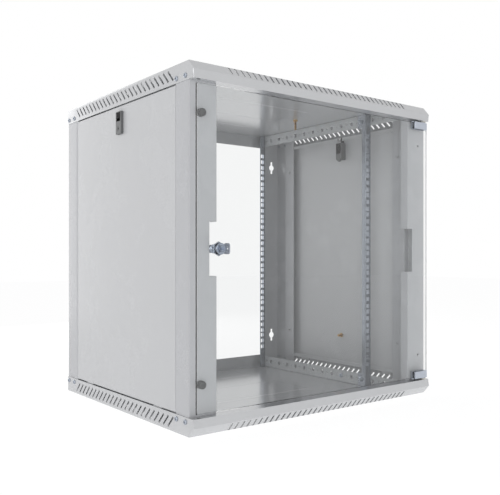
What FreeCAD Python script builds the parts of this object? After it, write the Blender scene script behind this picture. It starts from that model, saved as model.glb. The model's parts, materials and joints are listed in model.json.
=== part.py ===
import FreeCAD, Part
import math
import os

# Wall mount network cabinet, 12 units high, 19-inch wide, with a glass door.
# Millimetres. X runs to the right seen from the front, Y from the door to the wall, Z up.
# The origin is the centre of the underside that the cabinet can stand on.

# Casing
width = 600.0
depth = 550.0
height = 635.0
sheet = 1.5
bend_flat = 1.3
facets = 8

# Top and bottom caps
cap_height = 32.5
cap_chamfer_depth = 15.0
cap_chamfer_height = 16.7
cap_lip_depth = 28.0
side_vent_count = 25
side_vent_pitch = 17.15
side_vent_length = 26.5
vent_width = 4.0
side_vent_from_top = 16.1
front_vent_count = 35
front_vent_pitch = 13.0
front_vent_length = 18.5
front_vent_start = 0.8
cap_edge_flat = 0.5

# Removable covers in both caps
cover_width = 256.0
fan_cover_depth = 130.0
fan_cover_centre_y = 5.0
cable_cover_depth = 74.0
cable_cover_centre_y = 209.0
cover_gap = 0.5
cover_tab = 3.0

# Corner posts
post_width = 53.5
front_post_setback = 16.0
post_return = 20.1
front_post_depth = 46.0
rear_post_depth = 54.0
panel_recess = 13.5
post_seat_length = 35.0
post_fit_gap = 0.5
lock_notch_width = 15.0
lock_notch_height = 93.7
seat_slot_length = 7.0
seat_slot_height = 3.0
seat_slot_from_end = 104.0
seat_slot_from_panel = 19.0

# Keyholes for wall screws
keyhole_radius = 8.0
keyhole_slot_width = 6.0
keyhole_length = 33.0
keyhole_from_side = 25.0
keyhole_spacing_z = 466.0

# Screws that join the caps to the posts
cap_screw_radius = 2.5
cap_screw_head_radius = 4.5
cap_screw_head_height = 2.4
cap_screw_length = 8.0
cap_screw_from_end = 24.5
front_screw_setbacks = (10.0, 40.3)
rear_screw_setbacks = (8.0, 37.5)
square_hole_clearance = 0.3

# Side panels
panel_sheet = 1.2
panel_lip = 8.0
panel_end_gap = 2.0
panel_seat_gap = 0.3
panel_tab_width = 30.0
panel_tab_drop = 7.0
panel_tab_spacing = 300.0
panel_tab_gap = 0.3

# Latch in the top edge of each side panel
latch_width = 23.0
latch_height = 44.5
latch_from_panel_top = 11.5
latch_proud = 5.5
latch_body_width = 18.6
latch_body_depth = 17.0
latch_wall = 1.6
latch_gap = 0.25
button_width = 16.0
button_height = 11.5
button_window_height = 17.5
button_proud = 0.6
bolt_thickness = 4.0
bolt_width = 12.0
bolt_tongue_width = 9.0
bolt_from_panel_face = 1.7
bolt_travel = 5.0
bolt_tip_gap = 0.5
latch_spring_strip = 0.4
latch_spring_legs = 4
latch_key_radius = 4.0
latch_key_from_bottom = 11.0
latch_key_slot = 1.2
latch_key_slot_depth = 2.0
latch_lug_radius = 5.0
latch_lug_depth = 6.0

# Rails for 19-inch equipment
rack_units = 12
unit_height = 44.45
unit_holes = 3
unit_first_hole = 6.35
unit_hole_step = 15.875
rail_hole = 9.5
rail_hole_spacing = 465.1
rack_opening = 451.4
rail_flange = 16.9
rail_lip = 13.0
rail_lip_end_gap = 2.5
rail_leg = 28.0
rail_tab = 42.0
rail_end_gap = 0.5
front_rail_setback = 125.7
rear_rail_leg = 14.5
rail_bolt_from_front_rail = 30.3
rail_bolt_from_rear_rail = 8.5

# Depth brackets that carry the rails
bracket_height = 28.5
bracket_foot = 13.4
bracket_front = 30.0
bracket_hole = 9.0
bracket_hole_from_rear = 9.0
bracket_hole_pitch = 35.0
bracket_hole_margin = 21.0
bracket_hole_from_plate = 16.0
spare_bolt_holes_back = 2
foot_post_gap = 3.0

# Bolts and square nuts that hold the rails
rail_bolt_radius = 3.0
rail_bolt_head_radius = 5.5
rail_bolt_head_height = 3.0
rail_nut_width = 10.0
rail_nut_height = 4.0
bolt_past_nut = 2.0

# Glass door
glass = 5.0
glass_setback = 0.5
glass_side_gap = 7.25
glass_end_gap = 6.7
glass_edge_chamfer = 0.6

# Hinges
hinge_from_side = 13.5
hinge_setback = 6.0
pin_radius = 3.0
pin_clearance = 0.05
bush_radius = 4.25
bush_flange_radius = 6.0
bush_above_lip = 1.5
hinge_play = 0.5
clamp_length = 39.0
clamp_past_pin = 2.5
clamp_height = 15.0
clamp_front = 4.5
clamp_back = 6.5
clamp_corner = 3.0
clamp_above_glass = 1.1
shelf_height = 2.0
shelf_length = 12.0
pad = 0.5

# Door lock
lock_from_side = 53.6
lock_flange_radius = 10.0
lock_flange = 3.5
lock_body_radius = 7.8
lock_body_length = 26.5
lock_glass_gap = 0.4
lock_washer_radius = 10.8
lock_washer = 1.0
lock_nut_flats = 22.0
lock_nut_height = 4.0
plug_radius = 5.0
plug_clearance = 0.05
plug_proud = 0.8
plug_square = 6.0
cam_thickness = 2.0
cam_reach = 12.4
cam_width = 14.0
cam_corner = 2.3
cam_screw_radius = 2.0
cam_screw_head_radius = 4.0
cam_screw_head_height = 2.2
cam_screw_length = 6.0
thread_gap = 0.05

# Key
key_blade_thickness = 1.4
key_blade_height = 5.6
key_slot_gap = 0.15
key_bow_thickness = 2.2
key_bow_height = 18.7
key_bow_length = 17.0
key_bow_corner = 5.0
key_hole_radius = 2.0
key_neck = 7.0
key_engaged = 14.0

# Rubber buffers behind the free side of the glass
buffer_radius = 7.0
buffer_from_side = 21.5
buffer_from_middle = 230.5
buffer_gap = 0.3
buffer_stem_radius = 2.4
buffer_stem_clearance = 0.1
buffer_stem_length = 4.0

# Brass earth studs
stud_radius = 3.0
stud_collar_radius = 5.5
stud_collar_height = 3.0
cap_stud_x = 163.0
cap_stud_y = 28.0
cap_stud_length = 23.5
panel_stud_y = 8.0
panel_stud_z = 105.0
panel_stud_length = 13.0

# Derived planes
left = -width / 2
right = width / 2
front = -depth / 2
rear = depth / 2
middle = height / 2
through = 5.0
post_face_x = right - sheet
post_inner_x = post_face_x - post_width
post_front_y = front + front_post_setback
post_rear_y = rear - sheet
panel_front_y = post_front_y + front_post_depth
panel_rear_y = post_rear_y - rear_post_depth
seat_x = post_face_x - panel_recess
cap_edge_z = height - cap_height
panel_top_z = cap_edge_z - panel_end_gap
panel_bottom_z = height - panel_top_z
panel_middle_y = (panel_front_y + panel_rear_y) / 2
bracket_x = rack_opening / 2 + rail_flange
bracket_hole_z = height - sheet - bracket_hole_from_plate
bracket_hole_run = depth - bracket_hole_from_rear - bracket_front - bracket_hole_margin
bracket_hole_count = 1 + int(bracket_hole_run / bracket_hole_pitch)
front_rail_bolt_y = front + front_rail_setback + rail_bolt_from_front_rail
front_rail_bolt_hole = round((rear - bracket_hole_from_rear - front_rail_bolt_y)
                             / bracket_hole_pitch)
glass_front_y = front + glass_setback
glass_back_y = glass_front_y + glass
glass_top_z = cap_edge_z - glass_end_gap
hinge_x = right - hinge_from_side
hinge_y = front + hinge_setback
lock_x = left + lock_from_side

os.makedirs("parts", exist_ok=True)


# Shared shapes
def block(x0, x1, y0, y1, z0, z1):
    return Part.makeBox(x1 - x0, y1 - y0, z1 - z0, FreeCAD.Vector(x0, y0, z0))


def rod(radius, length, start, axis):
    return Part.makeCylinder(radius, length, FreeCAD.Vector(*start), FreeCAD.Vector(*axis))


def prism(points, travel):
    corners = [FreeCAD.Vector(*point) for point in points]
    return Part.Face(Part.makePolygon(corners + corners[:1])).extrude(FreeCAD.Vector(*travel))


def hexagon_along_y(flats, y0, y1, x, z):
    reach = flats / math.sqrt(3)
    corners = []
    for step in range(6):
        angle = math.radians(60 * step + 30)
        corners.append((x + reach * math.cos(angle), y0, z + reach * math.sin(angle)))
    return prism(corners, (0, y1 - y0, 0))


def mirrored_x(shape):
    return shape.mirror(FreeCAD.Vector(0, 0, 0), FreeCAD.Vector(1, 0, 0))


def mirrored_z(shape):
    return shape.mirror(FreeCAD.Vector(0, 0, middle), FreeCAD.Vector(0, 0, 1))


def turned_over(shape):
    """The same piece upside down, turned about the line from front to rear."""
    turned = shape.copy()
    turned.rotate(FreeCAD.Vector(0, 0, middle), FreeCAD.Vector(0, 1, 0), 180)
    return turned


def faceted_rod(radius, length, start, axis):
    """A rod with few sides, for small fasteners and holes that repeat."""
    corners = []
    for step in range(facets):
        angle = 2 * math.pi * (step + 0.5) / facets
        corners.append((radius * math.cos(angle), radius * math.sin(angle), 0))
    solid = prism(corners, (0, 0, length))
    turn = FreeCAD.Rotation(FreeCAD.Vector(0, 0, 1), FreeCAD.Vector(*axis))
    solid.Placement = FreeCAD.Placement(FreeCAD.Vector(*start), turn)
    return solid


def folded_sheet(path, place, travel):
    """A bent sheet. The path is its face on the right-hand side, and each bend is one flat."""
    corners = [FreeCAD.Vector(a, b, 0) for a, b in path]
    face = [corners[0]]
    for before, corner, after in zip(corners, corners[1:], corners[2:]):
        back = (before - corner).normalize()
        ahead = (after - corner).normalize()
        turns_left = back.cross(ahead).z < 0
        cut = bend_flat if turns_left else bend_flat - sheet * (2 - math.sqrt(2))
        face += [corner + back * cut, corner + ahead * cut]
    face.append(corners[-1])
    normals = []
    for a, b in zip(face, face[1:]):
        run = (b - a).normalize()
        normals.append(FreeCAD.Vector(-run.y, run.x, 0))
    other = [face[0] + normals[0] * sheet]
    for i in range(1, len(face) - 1):
        both = normals[i - 1] + normals[i]
        other.append(face[i] + both * (sheet / (1 + normals[i - 1].dot(normals[i]))))
    other.append(face[-1] + normals[-1] * sheet)
    return prism([place(point) for point in face + other[::-1]], travel)


def save(name, *solids):
    shape = solids[0] if len(solids) == 1 else Part.makeCompound(list(solids))
    shape.exportStep("parts/" + name + ".step")


# Caps: one folded tray, slotted along its sides and its front chamfer
def cap_outline(inset):
    slope = math.hypot(cap_chamfer_depth, cap_chamfer_height)
    along_top = inset * (slope - cap_chamfer_depth) / cap_chamfer_height
    along_front = inset * (slope - cap_chamfer_height) / cap_chamfer_depth
    top = height - inset
    return [
        (rear - inset, cap_edge_z + inset),
        (rear - inset, top),
        (front + cap_chamfer_depth + along_top, top),
        (front + inset, height - cap_chamfer_height - along_front),
        (front + inset, cap_edge_z + inset),
    ]


def cap_block(inset):
    side = right - inset
    return prism([(-side, y, z) for y, z in cap_outline(inset)], (2 * side, 0, 0))


def side_vents():
    along = side_vent_length / 2 / math.sqrt(2)
    across = vent_width / 2 / math.sqrt(2)
    z = height - side_vent_from_top
    middle_y = (front + cap_chamfer_depth + rear) / 2
    tools = []
    for i in range(side_vent_count):
        y = middle_y + (i - (side_vent_count - 1) / 2) * side_vent_pitch
        corners = [
            (left - through, y - along - across, z - along + across),
            (left - through, y - along + across, z - along - across),
            (left - through, y + along + across, z + along - across),
            (left - through, y + along - across, z + along + across),
        ]
        tools.append(prism(corners, (width + 2 * through, 0, 0)))
    return tools


def front_vents():
    slope = math.hypot(cap_chamfer_depth, cap_chamfer_height)
    down = (-cap_chamfer_depth / slope, -cap_chamfer_height / slope)
    out = (down[1], -down[0])
    top = (front + cap_chamfer_depth, height)
    tools = []
    for i in range(front_vent_count):
        x = (i - (front_vent_count - 1) / 2) * front_vent_pitch - vent_width / 2
        corners = []
        for run, rise in (
            (front_vent_start, -through),
            (front_vent_start, through),
            (front_vent_start + front_vent_length, through),
            (front_vent_start + front_vent_length, -through),
        ):
            y = top[0] + down[0] * run + out[0] * rise
            z = top[1] + down[1] * run + out[1] * rise
            corners.append((x, y, z))
        tools.append(prism(corners, (vent_width, 0, 0)))
    return tools


def cap_screw_places():
    front_ys = [post_front_y + setback for setback in front_screw_setbacks]
    rear_ys = [post_rear_y - setback for setback in rear_screw_setbacks]
    return front_ys + rear_ys


def cap_screw_holes(z):
    half = cap_screw_radius + square_hole_clearance
    tools = []
    for y in cap_screw_places():
        reach = right + through
        tools.append(block(-reach, reach, y - half, y + half, z - half, z + half))
    return tools


def cover_opening(depth_y, centre_y, inset):
    half = cover_width / 2 - inset
    y0 = centre_y - depth_y / 2 + inset
    y1 = centre_y + depth_y / 2 - inset
    return half, y0, y1


def top_cap():
    outer = cap_block(0.0)
    folds = [edge for edge in outer.Edges if edge.BoundBox.ZMax > cap_edge_z + sheet]
    outer = outer.makeChamfer(cap_edge_flat, folds)
    tools = [cap_block(sheet)]
    side = right - sheet
    tools.append(block(-side, side, front + cap_lip_depth, rear - sheet,
                       cap_edge_z - through, cap_edge_z + 2 * sheet))
    notch_x = post_inner_x - post_fit_gap
    for x0, x1 in ((-side, -notch_x), (notch_x, side)):
        tools.append(block(x0, x1, post_front_y - post_fit_gap, rear - sheet,
                           cap_edge_z - through, cap_edge_z + 2 * sheet))
    for x in (-hinge_x, hinge_x):
        tools.append(faceted_rod(bush_radius, 2 * through,
                                 (x, hinge_y, cap_edge_z - through), (0, 0, 1)))
    for depth_y, centre_y in (
        (fan_cover_depth, fan_cover_centre_y),
        (cable_cover_depth, cable_cover_centre_y),
    ):
        half, y0, y1 = cover_opening(depth_y, centre_y, 0.0)
        tools.append(block(-half, half, y0, y1, height - through, height + through))
    tools += cap_screw_holes(height - cap_screw_from_end)
    return outer.cut(tools).cut(side_vents() + front_vents())


def cap_cover(depth_y, centre_y):
    half, y0, y1 = cover_opening(depth_y, centre_y, cover_gap)
    z0 = height - sheet
    cover = block(-half, half, y0, y1, z0, height)
    tab = cover_tab / 2
    joints = [
        block(-half - cover_gap, half + cover_gap, centre_y - tab, centre_y + tab, z0, height),
        block(-tab, tab, y0 - cover_gap, y1 + cover_gap, z0, height),
    ]
    return cover.fuse(joints).removeSplitter()


cap = top_cap()
save("top_cap", cap)
save("bottom_cap", turned_over(cap))
fan_cover = cap_cover(fan_cover_depth, fan_cover_centre_y)
save("top_fan_cover", fan_cover)
save("bottom_fan_cover", turned_over(fan_cover))
cable_cover = cap_cover(cable_cover_depth, cable_cover_centre_y)
save("top_cable_cover", cable_cover)
save("bottom_cable_cover", turned_over(cable_cover))


# Corner posts: folded columns with a recess that seats the side panel
def flat(point):
    return FreeCAD.Vector(point.x, point.y, sheet)


def post_screw_holes(post, ys):
    half = cap_screw_radius + square_hole_clearance
    tools = []
    for z in (cap_screw_from_end, height - cap_screw_from_end):
        for y in ys:
            tools.append(block(post_face_x - through, post_face_x + through,
                               y - half, y + half, z - half, z + half))
    return post.cut(tools)


def seat_slots(post, y):
    half_y = seat_slot_length / 2
    half_z = seat_slot_height / 2
    tools = []
    for z in (seat_slot_from_end, height - seat_slot_from_end):
        tools.append(block(seat_x - through, seat_x + through,
                           y - half_y, y + half_y, z - half_z, z + half_z))
    return post.cut(tools)


def front_post():
    path = [
        (post_inner_x, post_front_y + post_return),
        (post_inner_x, post_front_y),
        (post_face_x, post_front_y),
        (post_face_x, panel_front_y),
        (seat_x, panel_front_y),
        (seat_x, panel_front_y + post_seat_length),
    ]
    post = folded_sheet(path, flat, (0, 0, height - 2 * sheet))
    half = lock_notch_height / 2
    tools = [block(post_inner_x - through, post_inner_x + lock_notch_width,
                   post_front_y - through, post_front_y + post_return + through,
                   middle - half, middle + half)]
    for z in (middle - buffer_from_middle, middle + buffer_from_middle):
        tools.append(faceted_rod(buffer_stem_radius + buffer_stem_clearance, 2 * through,
                                 (right - buffer_from_side, post_front_y - through, z),
                                 (0, 1, 0)))
    post = post_screw_holes(post.cut(tools), cap_screw_places()[:2])
    return seat_slots(post, panel_front_y + seat_slot_from_panel)


def keyhole(z):
    x = right - keyhole_from_side
    y = post_rear_y - through
    slot = keyhole_slot_width / 2
    reach = keyhole_length / 2
    hole = rod(keyhole_radius, 2 * through, (x, y, z), (0, 1, 0))
    return hole.fuse(block(x - slot, x + slot, y, y + 2 * through, z - reach, z + reach))


def rear_post():
    path = [
        (seat_x, panel_rear_y - post_seat_length),
        (seat_x, panel_rear_y),
        (post_face_x, panel_rear_y),
        (post_face_x, post_rear_y),
        (post_inner_x, post_rear_y),
    ]
    post = folded_sheet(path, flat, (0, 0, height - 2 * sheet))
    half = keyhole_spacing_z / 2
    post = post.cut([keyhole(middle - half), keyhole(middle + half)])
    post = post_screw_holes(post, cap_screw_places()[2:])
    return seat_slots(post, panel_rear_y - seat_slot_from_panel)


post = front_post()
save("front_right_post", post)
save("front_left_post", mirrored_x(post))
post = rear_post()
save("rear_right_post", post)
save("rear_left_post", mirrored_x(post))


# Screws with square necks, through the cap flanges into the post walls
def cap_screw(y, z):
    head = faceted_rod(cap_screw_head_radius, cap_screw_head_height, (right, y, z), (1, 0, 0))
    half = cap_screw_radius
    neck = block(right - cap_screw_length, right, y - half, y + half, z - half, z + half)
    return head.fuse(neck)


screws = []
for y in cap_screw_places():
    for z in (cap_screw_from_end, height - cap_screw_from_end):
        screw = cap_screw(y, z)
        screws += [screw, mirrored_x(screw)]
save("cap_screws", *screws)


# Side panels: shallow trays whose lips rest on the posts
panel_y0 = panel_front_y + post_fit_gap
panel_y1 = panel_rear_y - post_fit_gap
panel_back_x = seat_x + panel_seat_gap
panel_face_x = post_face_x
latch_top_z = panel_top_z - latch_from_panel_top
latch_bottom_z = latch_top_z - latch_height
latch_y = panel_middle_y


def side_panel():
    tray = block(panel_back_x, panel_face_x, panel_y0, panel_y1, panel_bottom_z, panel_top_z)
    folds = [edge for edge in tray.Edges if edge.BoundBox.XMin > panel_face_x - sheet]
    tray = tray.makeChamfer(panel_sheet / 2, folds)
    room = panel_sheet
    tools = [block(panel_back_x + room, panel_face_x - room, panel_y0 + room, panel_y1 - room,
                   panel_bottom_z + room, panel_top_z - room)]
    room = panel_lip
    tools.append(block(panel_back_x - 1, panel_face_x - panel_sheet, panel_y0 + room,
                       panel_y1 - room, panel_bottom_z + room, panel_top_z - room))
    half = latch_body_width / 2 + latch_gap
    tools.append(block(panel_face_x - through, panel_face_x + 1, latch_y - half, latch_y + half,
                       latch_bottom_z + latch_wall, latch_top_z - latch_wall))
    tools.append(block(panel_back_x - 1, panel_face_x - panel_sheet, latch_y - half,
                       latch_y + half, latch_top_z, panel_top_z + 1))
    panel = tray.cut(tools)
    x1 = panel_face_x - panel_tab_gap
    tabs = []
    for y in (panel_middle_y - panel_tab_spacing / 2, panel_middle_y + panel_tab_spacing / 2):
        tabs.append(block(x1 - panel_sheet, x1, y - panel_tab_width / 2, y + panel_tab_width / 2,
                          panel_bottom_z - panel_tab_drop, panel_bottom_z + 2 * panel_sheet))
    return panel.fuse(tabs)


panel = side_panel()
save("right_side_panel", panel)
save("left_side_panel", mirrored_x(panel))


# Panel latch: a moulded case with a bolt, a slide button, a spring and a key plug
bolt_x1 = panel_face_x - bolt_from_panel_face
bolt_x0 = bolt_x1 - bolt_thickness
latch_face_x = panel_face_x + latch_proud
latch_back_x = panel_face_x - latch_body_depth
latch_floor_z = latch_bottom_z + latch_wall + latch_gap
latch_roof_z = latch_top_z - latch_wall - latch_gap
window_top_z = latch_top_z - latch_wall
window_bottom_z = window_top_z - button_window_height
button_z1 = window_top_z - latch_gap
button_z0 = button_z1 - button_height
bolt_bottom_z = window_bottom_z - latch_gap
spring_floor_z = bolt_bottom_z - 2 * bolt_travel
latch_key_z = latch_bottom_z + latch_key_from_bottom


def latch_case():
    half = latch_width / 2
    bezel = block(panel_face_x, latch_face_x, latch_y - half, latch_y + half,
                  latch_bottom_z, latch_top_z)
    rims = [edge for edge in bezel.Edges if edge.BoundBox.XMin > panel_face_x + 1]
    bezel = bezel.makeChamfer(latch_wall / 2, rims)
    half = latch_body_width / 2
    body = block(latch_back_x, panel_face_x, latch_y - half, latch_y + half,
                 latch_floor_z, latch_roof_z)
    lug = faceted_rod(latch_lug_radius, latch_lug_depth,
                      (latch_back_x, latch_y, latch_floor_z), (1, 0, 0))
    case = bezel.fuse([body, lug])
    gap = latch_gap
    half = bolt_width / 2 + gap
    channel = block(bolt_x0 - gap, bolt_x1 + gap, latch_y - half, latch_y + half,
                    spring_floor_z - gap, latch_top_z + 1)
    half = button_width / 2 + gap
    window = block(bolt_x1, latch_face_x + 1, latch_y - half, latch_y + half,
                   window_bottom_z, window_top_z)
    bore = faceted_rod(latch_key_radius + 2 * latch_gap, latch_proud + latch_body_depth / 2 + 1,
                       (latch_face_x + 1, latch_y, latch_key_z), (-1, 0, 0))
    half = latch_body_width / 2 - latch_wall
    hollow = block(latch_back_x - 1, bolt_x0 - gap - latch_wall, latch_y - half, latch_y + half,
                   latch_key_z + latch_key_radius + latch_wall, latch_roof_z - latch_wall)
    return case.cut([channel, window, bore, hollow])


def latch_button():
    half = button_width / 2
    button = block(bolt_x1, latch_face_x + button_proud, latch_y - half, latch_y + half,
                   button_z0, button_z1)
    groove_z = (button_z0 + button_z1) / 2
    cuts = []
    for step in (-1, 0, 1):
        z = groove_z + step * button_height / 4
        cuts.append(block(latch_face_x, latch_face_x + 1, latch_y - half - 1, latch_y + half + 1,
                          z - button_proud, z + button_proud))
    return button.cut(cuts)


def latch_bolt():
    half = bolt_width / 2
    plate = block(bolt_x0, bolt_x1, latch_y - half, latch_y + half, bolt_bottom_z, latch_top_z)
    half = bolt_tongue_width / 2
    tip_z = cap_edge_z - bolt_tip_gap
    tongue = prism([
        (bolt_x0, latch_y - half, latch_top_z),
        (bolt_x1, latch_y - half, latch_top_z),
        (bolt_x1, latch_y - half, tip_z - bolt_thickness),
        (bolt_x0 + bolt_thickness / 2, latch_y - half, tip_z),
        (bolt_x0, latch_y - half, tip_z),
    ], (0, bolt_tongue_width, 0))
    return plate.fuse(tongue).removeSplitter()


def latch_spring():
    rise = bolt_bottom_z - spring_floor_z
    step = (rise - latch_spring_strip) / latch_spring_legs
    half = bolt_width / 2 - 1
    x0 = bolt_x0 + 1
    x1 = bolt_x1 - 1
    runs = []
    for i in range(latch_spring_legs + 1):
        z = spring_floor_z + i * step
        runs.append(block(x0, x1, latch_y - half, latch_y + half, z, z + latch_spring_strip))
    for i in range(latch_spring_legs):
        z = spring_floor_z + i * step
        y = latch_y + half - latch_spring_strip if i % 2 else latch_y - half
        runs.append(block(x0, x1, y, y + latch_spring_strip, z, z + step))
    return runs[0].fuse(runs[1:]).removeSplitter()


def latch_key_plug():
    length = latch_proud + latch_body_depth / 2
    place = (latch_face_x, latch_y, latch_key_z)
    plug = faceted_rod(latch_key_radius, length, place, (-1, 0, 0))
    half = latch_key_slot / 2
    reach = latch_key_radius / 2
    return plug.cut(block(latch_face_x - latch_key_slot_depth, latch_face_x + through,
                          latch_y - half, latch_y + half,
                          latch_key_z - reach, latch_key_z + reach))


for name, shape in (
    ("latch_case", latch_case()),
    ("latch_button", latch_button()),
    ("latch_bolt", latch_bolt()),
    ("latch_spring", latch_spring()),
    ("latch_key_plug", latch_key_plug()),
):
    save("right_" + name, shape)
    save("left_" + name, mirrored_x(shape))


# Equipment rails with square holes in the 19-inch pattern
def rail_holes(y):
    half = rail_hole / 2
    x = rail_hole_spacing / 2
    tools = []
    for unit in range(rack_units):
        unit_z = middle + (unit - rack_units / 2) * unit_height
        for step in range(unit_holes):
            z = unit_z + unit_first_hole + step * unit_hole_step
            tools.append(block(x - half, x + half, y - through, y + through, z - half, z + half))
    return tools


def rail_bolt_holes(y):
    half = rail_bolt_radius + square_hole_clearance
    tools = []
    for z in (bracket_hole_z, height - bracket_hole_z):
        tools.append(block(bracket_x - through, bracket_x + 1,
                           y - half, y + half, z - half, z + half))
    return tools


def bracket_hole_y(index):
    return rear - bracket_hole_from_rear - index * bracket_hole_pitch


def rail_floor(point):
    return FreeCAD.Vector(point.x, point.y, sheet + rail_end_gap)


rail_length = height - 2 * (sheet + rail_end_gap)
rail_inner_x = rack_opening / 2
rail_front_y = bracket_hole_y(front_rail_bolt_hole) - rail_bolt_from_front_rail
rail_rear_y = bracket_hole_y(0) - rail_bolt_from_rear_rail


def front_rail():
    y = rail_front_y
    path = [
        (rail_inner_x, y + rail_lip),
        (rail_inner_x, y),
        (bracket_x, y),
        (bracket_x, y + rail_tab),
    ]
    rail = folded_sheet(path, rail_floor, (0, 0, rail_length))
    lip_end = cap_height + rail_lip_end_gap
    tools = rail_holes(y) + rail_bolt_holes(bracket_hole_y(front_rail_bolt_hole))
    tools.append(block(bracket_x - through, bracket_x + 1, y + rail_leg, y + rail_tab + 1,
                       cap_height, cap_edge_z))
    for z0, z1 in ((0, lip_end), (height - lip_end, height)):
        tools.append(block(rail_inner_x - 1, rail_inner_x + bend_flat + sheet,
                           y + bend_flat + sheet, y + rail_lip + 1, z0, z1))
    return rail.cut(tools)


def rear_rail():
    y = rail_rear_y
    path = [(rail_inner_x, y), (bracket_x, y), (bracket_x, y + rear_rail_leg)]
    rail = folded_sheet(path, rail_floor, (0, 0, rail_length))
    return rail.cut(rail_holes(y) + rail_bolt_holes(bracket_hole_y(0)))


rail = front_rail()
save("front_right_rail", rail)
save("front_left_rail", mirrored_x(rail))
rail = rear_rail()
save("rear_right_rail", rail)
save("rear_left_rail", mirrored_x(rail))


# Depth brackets: perforated angles fixed to the cap plates
def depth_bracket():
    y0 = front + bracket_front

    def end(point):
        return FreeCAD.Vector(point.x, y0, point.y)

    top = height - sheet
    path = [(bracket_x + bracket_foot, top), (bracket_x, top), (bracket_x, top - bracket_height)]
    bracket = folded_sheet(path, end, (0, rear - sheet - y0, 0))
    foot_start = post_front_y + post_return + foot_post_gap
    foot_end = post_rear_y - sheet - foot_post_gap
    x0 = bracket_x + sheet
    x1 = bracket_x + bracket_foot + 1
    tools = [
        block(x0, x1, y0 - 1, foot_start, top - bend_flat - sheet, top + 1),
        block(x0, x1, foot_end, rear, top - bend_flat - sheet, top + 1),
    ]
    half = bracket_hole / 2
    for index in range(bracket_hole_count):
        y = bracket_hole_y(index)
        tools.append(block(bracket_x - 1, bracket_x + sheet + 1, y - half, y + half,
                           bracket_hole_z - half, bracket_hole_z + half))
    return bracket.cut(tools)


bracket = depth_bracket()
save("top_right_bracket", bracket)
save("top_left_bracket", mirrored_x(bracket))
save("bottom_right_bracket", mirrored_z(bracket))
save("bottom_left_bracket", mirrored_x(mirrored_z(bracket)))


# Rail bolts, each through a bracket hole into a square nut
def rail_bolt(seat, y, z):
    head = faceted_rod(rail_bolt_head_radius, rail_bolt_head_height, (seat, y, z), (-1, 0, 0))
    end = bracket_x + sheet + rail_nut_height + bolt_past_nut
    half = rail_bolt_radius
    return head.fuse(block(seat, end, y - half, y + half, z - half, z + half))


def square_nut(x, y, z, wide, high, bore_radius):
    half = wide / 2
    hole = bore_radius + square_hole_clearance
    nut = block(x, x + high, y - half, y + half, z - half, z + half)
    return nut.cut(block(x - 1, x + high + 1, y - hole, y + hole, z - hole, z + hole))


bolts = []
nuts = []
for seat, index, z in (
    (bracket_x - sheet, front_rail_bolt_hole, height - bracket_hole_z),
    (bracket_x - sheet, front_rail_bolt_hole, bracket_hole_z),
    (bracket_x - sheet, 0, height - bracket_hole_z),
    (bracket_x - sheet, 0, bracket_hole_z),
    (bracket_x, front_rail_bolt_hole - spare_bolt_holes_back, height - bracket_hole_z),
):
    y = bracket_hole_y(index)
    bolt = rail_bolt(seat, y, z)
    nut = square_nut(bracket_x + sheet, y, z, rail_nut_width, rail_nut_height, rail_bolt_radius)
    bolts += [bolt, mirrored_x(bolt)]
    nuts += [nut, mirrored_x(nut)]
save("rail_bolts", *bolts)
save("rail_nuts", *nuts)


# Brass earth studs, one in the top cap and one in each side panel
def earth_stud(length):
    collar = faceted_rod(stud_collar_radius, stud_collar_height, (0, 0, 0), (0, 0, 1))
    return collar.fuse(faceted_rod(stud_radius, length, (0, 0, 0), (0, 0, 1)))


stud = earth_stud(cap_stud_length)
stud.rotate(FreeCAD.Vector(0, 0, 0), FreeCAD.Vector(1, 0, 0), 180)
stud.translate(FreeCAD.Vector(cap_stud_x, cap_stud_y, height - sheet))
save("cap_earth_stud", stud)
stud = earth_stud(panel_stud_length)
stud.rotate(FreeCAD.Vector(0, 0, 0), FreeCAD.Vector(0, 1, 0), -90)
stud.translate(FreeCAD.Vector(panel_face_x - panel_sheet, panel_stud_y, panel_stud_z))
save("right_panel_earth_stud", stud)
save("left_panel_earth_stud", mirrored_x(stud))


# Glass door with a hole for the lock
def door_glass():
    side = right - glass_side_gap
    pane = block(-side, side, glass_front_y, glass_back_y, height - glass_top_z, glass_top_z)
    pane = pane.makeChamfer(glass_edge_chamfer, pane.Edges)
    hole = rod(lock_body_radius + lock_glass_gap, glass + 2 * through,
               (lock_x, glass_front_y - through, middle), (0, 1, 0))
    return pane.cut(hole)


save("door_glass", door_glass())


# Hinges: clamps over the glass corners, with pins that turn in bushes in the cap lips
clamp_x1 = hinge_x + clamp_past_pin
clamp_x0 = clamp_x1 - clamp_length
clamp_top_z = glass_top_z + clamp_above_glass
clamp_bottom_z = clamp_top_z - clamp_height
shelf_top_z = clamp_top_z + shelf_height
clamp_face_y = glass_front_y - pad - clamp_front
clamp_rear_y = glass_back_y + pad + clamp_back


def hinge_front():
    plate = block(clamp_x0, clamp_x1, clamp_face_y, glass_front_y - pad,
                  clamp_bottom_z, clamp_top_z)
    end = [edge for edge in plate.Edges
           if edge.BoundBox.XMin > clamp_x1 - 1 and edge.BoundBox.YMax < clamp_face_y + 1
           and edge.BoundBox.ZLength > clamp_height / 2]
    plate = plate.makeChamfer(clamp_corner / 2, end)
    rim = [edge for edge in plate.Edges if edge.BoundBox.YMax < clamp_face_y + 0.01]
    return plate.makeChamfer(pad, rim)


def hinge_back():
    plate = block(clamp_x0, clamp_x1, glass_back_y + pad, clamp_rear_y,
                  clamp_bottom_z, shelf_top_z)
    shelf = block(clamp_x1 - shelf_length, clamp_x1, glass_front_y, glass_back_y + pad + 1,
                  clamp_top_z, shelf_top_z)
    edges = [edge for edge in plate.Edges
             if edge.BoundBox.YMin > clamp_rear_y - 1 and edge.BoundBox.ZLength > clamp_height / 2]
    plate = plate.makeChamfer(clamp_corner / 2, edges)
    seat = rod(pin_radius, 2 * through, (hinge_x, hinge_y, clamp_top_z), (0, 0, 1))
    return plate.fuse(shelf).cut(seat)


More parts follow.
